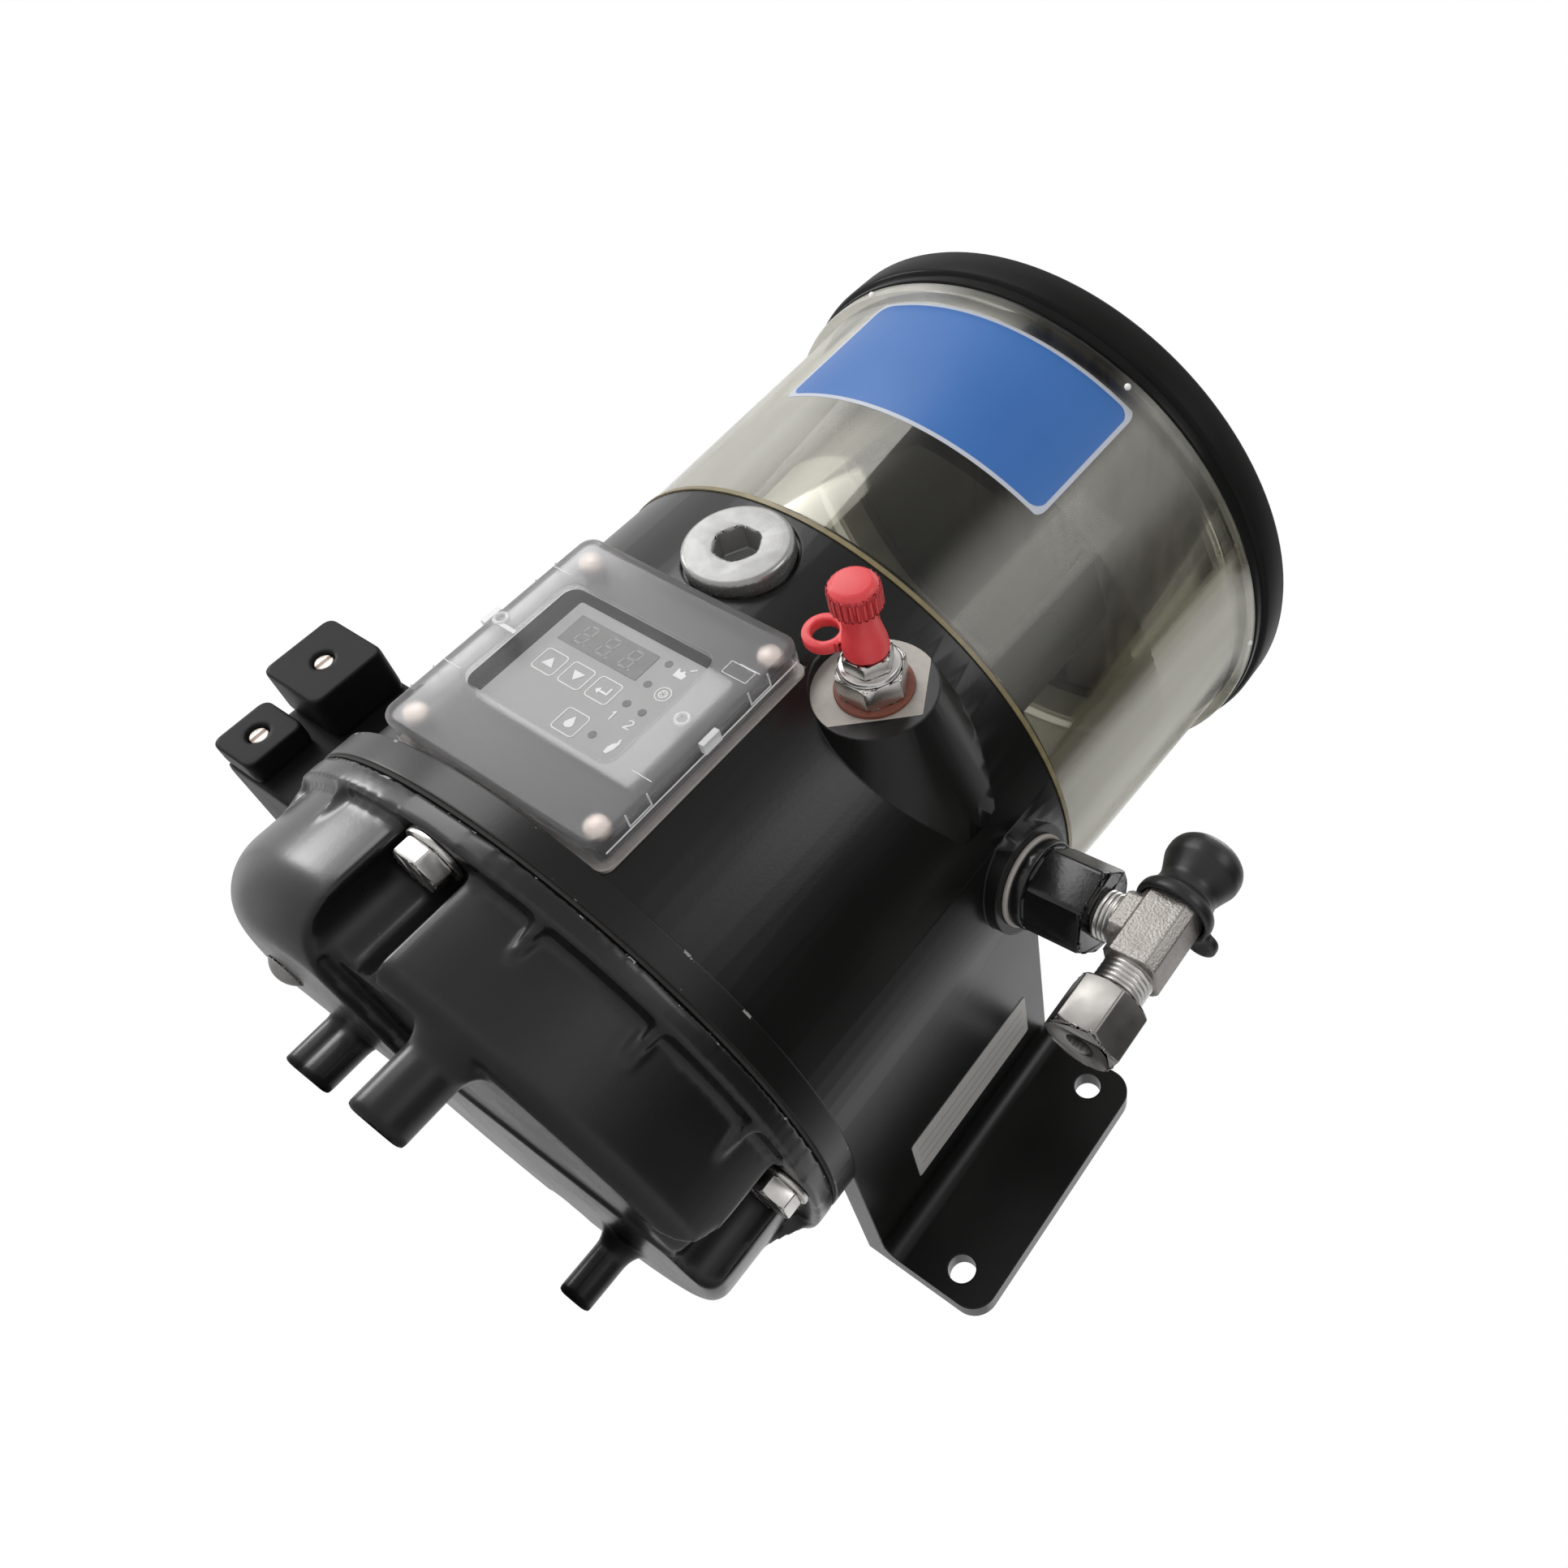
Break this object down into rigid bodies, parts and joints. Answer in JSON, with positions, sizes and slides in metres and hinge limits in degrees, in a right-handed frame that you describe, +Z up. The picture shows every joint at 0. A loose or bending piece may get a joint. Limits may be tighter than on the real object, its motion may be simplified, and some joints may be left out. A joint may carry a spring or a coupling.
{
  "type": "lubrication pump",
  "caption": "Electric grease lubrication pump with a clear reservoir, keypad controller, wall bracket and tee outlet.",
  "frame": {"origin": "on the pump's vertical axis, at the underside of the bottom cover; the feet reach 21 mm below it", "axes": "+Z up the pump's axis to the lid, -Y out of the controller's face, +X towards the outlet; the wall is at +Y"},
  "size_m": [0.2896, 0.2191, 0.3003],
  "materials": {
    "black_casting": "satin black paint",
    "black_moulding": "semi-gloss moulded black",
    "clear_plastic": "clear, slightly yellow",
    "clear_cover": "clear, frosted rim",
    "gloss_black": "glossy black",
    "amber_seal": "amber rubber",
    "dark_rubber": "matte black rubber",
    "zinc": "zinc plated",
    "forged_zinc": "grainy zinc plated forging",
    "black_steel": "blackened steel",
    "ground_steel": "ground steel",
    "fibre": "red-brown fibre",
    "cream_washer": "cream sealing washer",
    "pale_gasket": "pale foam gasket",
    "red_plastic": "coral red",
    "grey_film": "grey membrane film",
    "display": "dark display",
    "board": "green board",
    "bronze": "sintered bronze",
    "grey_motor": "grey paint"
  },
  "bodies": {
    "pump": {"body_housing": "black_casting", "bottom_cover": "black_moulding", "cover_gasket": "dark_rubber", "cover_bolts": "zinc", "cover_washers": "zinc", "drain_screw": "zinc", "reservoir": "clear_plastic", "reservoir_seal": "amber_seal", "lid": "gloss_black", "lid_seal": "dark_rubber", "controller_gasket": "pale_gasket", "controller_base": "black_moulding", "control_board": "board", "display_module": "display", "keypad": "grey_film", "controller_cover": "clear_cover", "controller_screws": "zinc", "fill_plug": "zinc", "plug_washer": "zinc", "nipple_washer": "fibre", "nipple_adapter": "zinc", "grease_nipple": "zinc", "nipple_cap": "red_plastic", "element_washer": "cream_washer", "pump_element": "black_steel", "piston_spring": "ground_steel", "check_ball": "ground_steel", "check_spring": "ground_steel", "tee_fitting": "forged_zinc", "tube_nut": "forged_zinc", "cutting_ring": "zinc", "relief_valve": "zinc", "rubber_cap": "dark_rubber", "gear_motor": "grey_motor", "motor_screws": "zinc", "shaft_bearing": "ground_steel", "shaft_seal": "dark_rubber", "upper_bush": "bronze", "connector_box": "black_moulding", "plug_gaskets": "dark_rubber", "large_plug": "black_moulding", "small_plug": "black_moulding", "plug_screws": "zinc", "cable_gland": "black_moulding"},
    "drive": {"drive_shaft": "ground_steel", "eccentric": "ground_steel", "cam_bearing": "ground_steel", "stirrer": "black_moulding"},
    "piston": {"piston": "ground_steel"}
  },
  "joints": [
    {"name": "drive_spin", "type": "hinge", "parent": "pump", "child": "drive", "pos_m": [0, 0, 0.136], "axis": [0, 0, 1], "continuous": true},
    {"name": "piston_stroke", "type": "slide", "parent": "pump", "child": "piston", "axis": [0.9903, -0.1392, 0], "range_m": [0, 0.006], "deforming": ["piston_spring"]}
  ]
}
